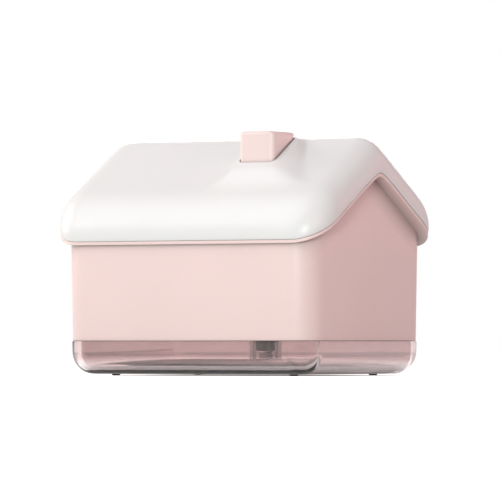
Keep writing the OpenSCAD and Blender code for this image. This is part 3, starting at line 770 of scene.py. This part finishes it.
def roof_cap():
    """The puffed white roof: a sheet over both slopes whose edge rolls out, down and under."""
    bm = round_plate(STRAIGHT_X + CROWN_R, STRAIGHT_Y + CROWN_R, CROWN_R, segments=12)
    slice_along(bm, 0, drift_slices())
    slice_along(bm, 1, ridge_slices())
    drop = bm.verts.layers.float.new("drop")
    for angle in EDGE_ANGLES:
        rim = [e for e in bm.edges if e.is_boundary]
        for v in grown_verts(bmesh.ops.extrude_edge_only(bm, edges=rim)):
            v.co = on_corner_line(v.co, CROWN_R + EDGE_IN * math.cos(angle))
            v[drop] = EDGE_DROP * (1 - math.sin(angle))
    for v in bm.verts:
        v.co.z = slope_z(v.co.y, v[drop]) + drift(v.co.x, v.co.y) - v[drop]
    bmesh.ops.recalc_face_normals(bm, faces=bm.faces)
    bmesh.ops.solidify(bm, geom=bm.faces[:], thickness=ROOF_T)
    at_lip = LIP_DROP - SAME_LEVEL
    for v in bm.verts:
        if v[drop] > at_lip:
            v.co.z = slope_z(v.co.y, LIP_DROP) + drift(v.co.x, v.co.y) - LIP_DROP
    bmesh.ops.recalc_face_normals(bm, faces=bm.faces)
    lip = [e for e in folded_edges(bm, 40) if all(v[drop] > at_lip for v in e.verts)]
    round_edges(bm, lip, LIP_SOFT, segments=3)
    piece = piece_from(bm, "roof_snow")
    cut_away(piece, chimney_pocket(ROOF_POCKET_GAP, "chimney_hole"))
    finish(piece, "roof_white", "house", "roof_cap")


def roof_liner():
    """The pink panel under the roof, whose soft edge shows as a thin line below the white rim."""
    rim_r = CROWN_R + EDGE_IN * math.cos(LIP_ANGLE) - LINER_INSET
    bm = round_plate(STRAIGHT_X + rim_r, STRAIGHT_Y + rim_r, rim_r, segments=16)
    slice_along(bm, 1, ridge_slices())
    for v in bm.verts:
        v.co.z = slope_z(v.co.y, LIP_DROP) - LIP_DROP
    bmesh.ops.recalc_face_normals(bm, faces=bm.faces)
    under = bmesh.ops.extrude_face_region(bm, geom=bm.faces[:])
    bmesh.ops.translate(bm, vec=(0, 0, -LINER_T), verts=grown_verts(under))
    bmesh.ops.recalc_face_normals(bm, faces=bm.faces)
    round_edges(bm, folded_edges(bm, 50), SOFT_EDGE, segments=3)
    piece = piece_from(bm, "roof_liner_panel")
    cut_away(piece, chimney_pocket(LINER_POCKET_GAP, "liner_hole"))
    finish(piece, "house_pink", "house", "roof_liner")


# ---- House walls -------------------------------------------------------------------------
def house_walls():
    """Four drafted walls with gables that end inside the liner."""
    low = HOUSE_LOW[2]
    bm = round_block(half_l(EAVE_Z), half_d(EAVE_Z), low, RIDGE_Z, CORNER_R, segments=20)
    slice_along(bm, 1, ridge_slices())
    for v in bm.verts:
        if v.co.z > EAVE_Z:
            v.co.z = slope_z(v.co.y, LIP_DROP) - LIP_DROP - LINER_T
    for v in bm.verts:
        v.co.x *= half_l(v.co.z) / HALF_L
        v.co.y *= half_d(v.co.z) / HALF_D
    ends = [f for f in bm.faces if abs(f.normal.z) > 0.5]
    bmesh.ops.delete(bm, geom=ends, context="FACES")
    bmesh.ops.recalc_face_normals(bm, faces=bm.faces)
    bmesh.ops.solidify(bm, geom=bm.faces[:], thickness=WALL_T)
    bmesh.ops.recalc_face_normals(bm, faces=bm.faces)
    foot = [e for e in level_edges(bm, low) if e.calc_face_angle() > WALL_FOOT_FOLD]
    round_edges(bm, foot, SOFT_EDGE, segments=3)
    piece = piece_from(bm, "house_walls")
    cut_away(piece, socket_slot())
    cut_away(piece, button_hole())
    finish(piece, "house_pink", "house", "house_shell")


def socket_slot():
    """A cutter with round ends for the rear wall, in front of the socket."""
    low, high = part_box("usb_socket")
    half_x, half_z = (high[0] - low[0]) / 2 + SLOT_GAP, (high[2] - low[2]) / 2 + SLOT_GAP
    centre_x, centre_z = (low[0] + high[0]) / 2, (low[2] + high[2]) / 2
    bm = block(half_x, CUTTER_REACH, half_z)
    through = [e for e in bm.edges if (e.verts[0].co - e.verts[1].co).xz.length < SAME_PLACE]
    round_edges(bm, through, half_z * 0.98, segments=10)
    move(bm, centre_x, half_d(centre_z), centre_z)
    return piece_from(bm, "socket_slot", smooth_angle=None)


def button_hole():
    """A round cutter for the rear wall, with a little play round the button."""
    bm = post(BUTTON_R + BUTTON_PLAY, -CUTTER_REACH, CUTTER_REACH, (0, 0), segments=48)
    swing(bm, QUARTER_TURN, "X")
    move(bm, BUTTON_X, half_d(BUTTON_Z), BUTTON_Z)
    return piece_from(bm, "button_hole", smooth_angle=None)


def power_button():
    """A round cap with a shallow dish for the fingertip, a collar behind the wall and a stem."""
    dish = [(DISH_R * k / 6, BUTTON_OUT - DISH_DEPTH * (1 - (k / 6) ** 2)) for k in range(7)]
    rim = [(BUTTON_R - SOFT_EDGE, BUTTON_OUT), (BUTTON_R - BUTTON_SOFT, BUTTON_OUT - BUTTON_SOFT),
           (BUTTON_R, BUTTON_OUT - SOFT_EDGE)]
    back = [(BUTTON_R, COLLAR_FRONT), (COLLAR_R, COLLAR_FRONT), (COLLAR_R, COLLAR_BACK),
            (STEM_R, COLLAR_BACK), (STEM_R, STEM_END), (0, STEM_END)]
    bm = turned(dish + rim + back, (0, 0))
    swing(bm, -QUARTER_TURN, "X")
    move(bm, BUTTON_X, half_d(BUTTON_Z), BUTTON_Z)
    finish(piece_from(bm, "power_button_cap"), "inner_white", "button", "power_button")


# ---- Chimney -----------------------------------------------------------------------------
def chimney():
    """A square stack with a soft top, and below it a round neck with a groove for its ring."""
    top = CHIMNEY_HIGH[2]
    bm = round_block(CHIMNEY_W / 2, CHIMNEY_D / 2, SEAT_TOP_Z, top, CHIMNEY_CORNER_R, segments=8)
    move(bm, CHIMNEY_X, CHIMNEY_Y)
    round_edges(bm, level_edges(bm, top), CHIMNEY_TOP_R, segments=6)
    piece = piece_from(bm, "chimney_stack")
    groove_r = NECK_R - NECK_GROOVE
    neck = [(NECK_R - SOFT_EDGE, NECK_Z), (NECK_R, NECK_Z + SOFT_EDGE), (NECK_R, SEAL_LOW[2]),
            (groove_r, SEAL_LOW[2]), (groove_r, SEAL_HIGH[2]), (NECK_R, SEAL_HIGH[2]),
            (NECK_R, SEAT_TOP_Z + MM), (NECK_CORE_R, SEAT_TOP_Z + MM), (NECK_CORE_R, NECK_Z)]
    centre = (CHIMNEY_X, CHIMNEY_Y)
    join_on(piece, piece_from(turned(neck, centre), "neck"))
    for name, radius, low in (("bore", MIST_BORE_R, MIST_BORE_LOW),
                              ("mouth", MOUTH_R, top - MOUTH_DEPTH)):
        cut_away(piece, piece_from(post(radius, low, ABOVE_ALL, centre, segments=64), name))
    finish(piece, "chimney_pink", "chimney", "chimney_nozzle")


# ---- Tank --------------------------------------------------------------------------------
def step_face(bm, face, inset, rise):
    """Draws a smaller copy of a level face up, or down when the rise is negative."""
    bmesh.ops.inset_region(bm, faces=[face], thickness=inset, use_even_offset=True)
    grown = bmesh.ops.extrude_face_region(bm, geom=[face])
    bmesh.ops.delete(bm, geom=[face], context="FACES")
    bmesh.ops.translate(bm, vec=(0, 0, rise), verts=grown_verts(grown))
    bm.normal_update()


def tank():
    """One clear moulding: a thick rounded lower part, a step, and a thin wall above it."""
    low, top = TANK_LOW[2], TANK_HIGH[2]
    bm = round_block(TANK_HIGH[0], TANK_HIGH[1], low, SEAM_Z, CORNER_R, segments=16)
    round_edges(bm, level_edges(bm, low), TANK_EDGE_R, segments=12)
    bm.normal_update()
    step_face(bm, top_face(bm, SEAM_Z), WALL_T + TANK_GAP, top - SEAM_Z)
    floor_z = low + TANK_FLOOR_T
    step_face(bm, top_face(bm, top), TANK_T, floor_z - top)
    round_edges(bm, level_edges(bm, floor_z), TANK_INNER_EDGE_R, segments=8)
    round_edges(bm, level_edges(bm, top), SOFT_EDGE, segments=3)
    bmesh.ops.recalc_face_normals(bm, faces=bm.faces)
    finish(piece_from(bm, "clear_tank"), "tank_clear", "tank", "water_tank")


def tank_feet():
    """Four small round feet, softened at their lower edge."""
    low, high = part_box("tank_feet")
    outline = [(0, low[2]), (FOOT_R - FOOT_SOFT, low[2]), (FOOT_R, low[2] + FOOT_SOFT),
               (FOOT_R, high[2]), (0, high[2])]
    piece = None
    for x in (low[0] + FOOT_R, high[0] - FOOT_R):
        for y in (low[1] + FOOT_R, high[1] - FOOT_R):
            foot = piece_from(turned(outline, (x, y), segments=32), "rubber_feet")
            if piece:
                join_on(piece, foot)
            else:
                piece = foot
    finish(piece, "foot_rubber", "tank", "tank_feet")


# ---- Wick and its sleeve -----------------------------------------------------------------
WICK_CENTRE = (CHIMNEY_X, CHIMNEY_Y)


def sleeve_lug(side):
    """A short arc that stands out from the tube, for the bayonet."""
    inner, outer = SLEEVE_R - OVERLAP, SLEEVE_R + LUG_OUT
    low, high = LUG_Z, LUG_Z + LUG_T
    bm = bmesh.new()
    corners = [bm.verts.new((side * radius, 0, height))
               for radius, height in ((inner, low), (outer, low), (outer, high), (inner, high))]
    face = bm.faces.new(corners)
    swing(bm, -LUG_ANGLE / 2, "Z")
    bmesh.ops.spin(bm, geom=[face], cent=(0, 0, 0), axis=(0, 0, 1), angle=LUG_ANGLE, steps=10,
                   use_duplicate=False)
    bmesh.ops.recalc_face_normals(bm, faces=bm.faces)
    move(bm, *WICK_CENTRE)
    return piece_from(bm, "lug")


def sleeve_rib(bearing, outer, low, high):
    """A thin upright rib inside the tube, which keeps the wick off its wall."""
    bm = block((outer - RIB_R) / 2, RIB_T / 2, (high - low) / 2)
    move(bm, (outer + RIB_R) / 2, 0, (low + high) / 2)
    swing(bm, math.radians(bearing), "Z")
    move(bm, *WICK_CENTRE)
    return piece_from(bm, "rib")


def water_slot(angle, height):
    """A cutter that runs right through the sleeve's foot."""
    bm = block(SLEEVE_R + MM, WATER_SLOT_HALF_W, WATER_SLOT_HALF_H)
    swing(bm, angle, "Z")
    move(bm, *WICK_CENTRE, height)
    return piece_from(bm, "slot")


def wick_sleeve():
    """A clear tube, closed below but for its water slots, with two bayonet lugs near the plate."""
    low, high = SLEEVE_LOW[2], SLEEVE_HIGH[2]
    inner_r, groove_r = SLEEVE_R - SLEEVE_T, SLEEVE_R - RING_GROOVE
    floor_z = low + SLEEVE_FLOOR_T
    foot = [(DRAIN_R, low), (SLEEVE_R - SLEEVE_FOOT_SOFT, low),
            (SLEEVE_R - 0.25 * MM, low + 0.25 * MM), (SLEEVE_R, low + SLEEVE_FOOT_SOFT)]
    groove = [(SLEEVE_R, SEAL_RING_LOW), (groove_r, SEAL_RING_LOW), (groove_r, SEAL_RING_HIGH),
              (SLEEVE_R, SEAL_RING_HIGH)]
    rim = [(SLEEVE_R, high - SLEEVE_RIM_SOFT), (SLEEVE_R - SLEEVE_RIM_SOFT, high),
           (inner_r, high)]
    inside = [(inner_r, floor_z), (DRAIN_R, floor_z)]
    tube = turned(foot + groove + rim + inside, WICK_CENTRE, segments=96)
    piece = piece_from(tube, "clear_wick_sleeve")
    for side in (-1, 1):
        join_on(piece, sleeve_lug(side))
    for bearing in (45, 135, 225, 315):
        rib = sleeve_rib(bearing, inner_r + OVERLAP, low + MM, high - SLEEVE_RIM_SOFT)
        join_on(piece, rib)
    for angle in (0, QUARTER_TURN):
        cut_away(piece, water_slot(angle, low + WATER_SLOT_RISE))
    finish(piece, "sleeve_clear", "sleeve", "wick_sleeve")


def wick_stick():
    """A pressed cotton stick, softly rounded at both ends and faintly uneven along its side."""
    low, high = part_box("wick_stick")
    radius = (high[0] - low[0]) / 2
    first, length = low[2] + WICK_SOFT, high[2] - low[2] - 2 * WICK_SOFT
    side = [(radius - WICK_RIPPLE * (k % 2), first + length * k / WICK_RINGS)
            for k in range(WICK_RINGS + 1)]
    flat_r = radius - WICK_SOFT
    outline = [(0, low[2]), (flat_r, low[2]), *side, (flat_r, high[2]), (0, high[2])]
    bm = turned(outline, WICK_CENTRE, segments=48)
    finish(piece_from(bm, "cotton_wick"), "wick_cotton", "wick", "wick_stick")


def wick_spring():
    """Two turns of bright wire under the wick, which close up as it is pressed down."""
    low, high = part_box("wick_spring")
    coil_r = (high[0] - low[0]) / 2 - WIRE_R
    coil_steps = COIL_TURNS * COIL_STEPS
    climb = (high[2] - low[2] - 2 * WIRE_R) / coil_steps
    bm = bmesh.new()
    bmesh.ops.create_circle(bm, cap_ends=False, radius=WIRE_R, segments=12)
    swing(bm, QUARTER_TURN, "X")
    move(bm, coil_r, 0, low[2] + WIRE_R)
    bmesh.ops.spin(bm, geom=bm.edges[:], cent=(0, 0, 0), axis=(0, 0, 1),
                   angle=COIL_TURNS * FULL_TURN, steps=coil_steps, dvec=(0, 0, climb),
                   use_duplicate=False)
    bmesh.ops.holes_fill(bm, edges=[e for e in bm.edges if e.is_boundary], sides=0)
    bmesh.ops.recalc_face_normals(bm, faces=bm.faces)
    move(bm, *WICK_CENTRE)
    coil = piece_from(bm, "wick_coil")
    finish(coil, "steel", "wick", "wick_spring")
    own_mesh(coil)


# ---- Scene -------------------------------------------------------------------------------
bpy.context.scene.view_settings.view_transform = "Standard"
studio_camera()
studio_world()
studio_floor()
for lamp in SOFTBOXES:
    softbox(*lamp)

dress_cad_nodes()
roof_cap()
roof_liner()
house_walls()
chimney()
power_button()
tank()
tank_feet()
wick_sleeve()
wick_stick()
wick_spring()
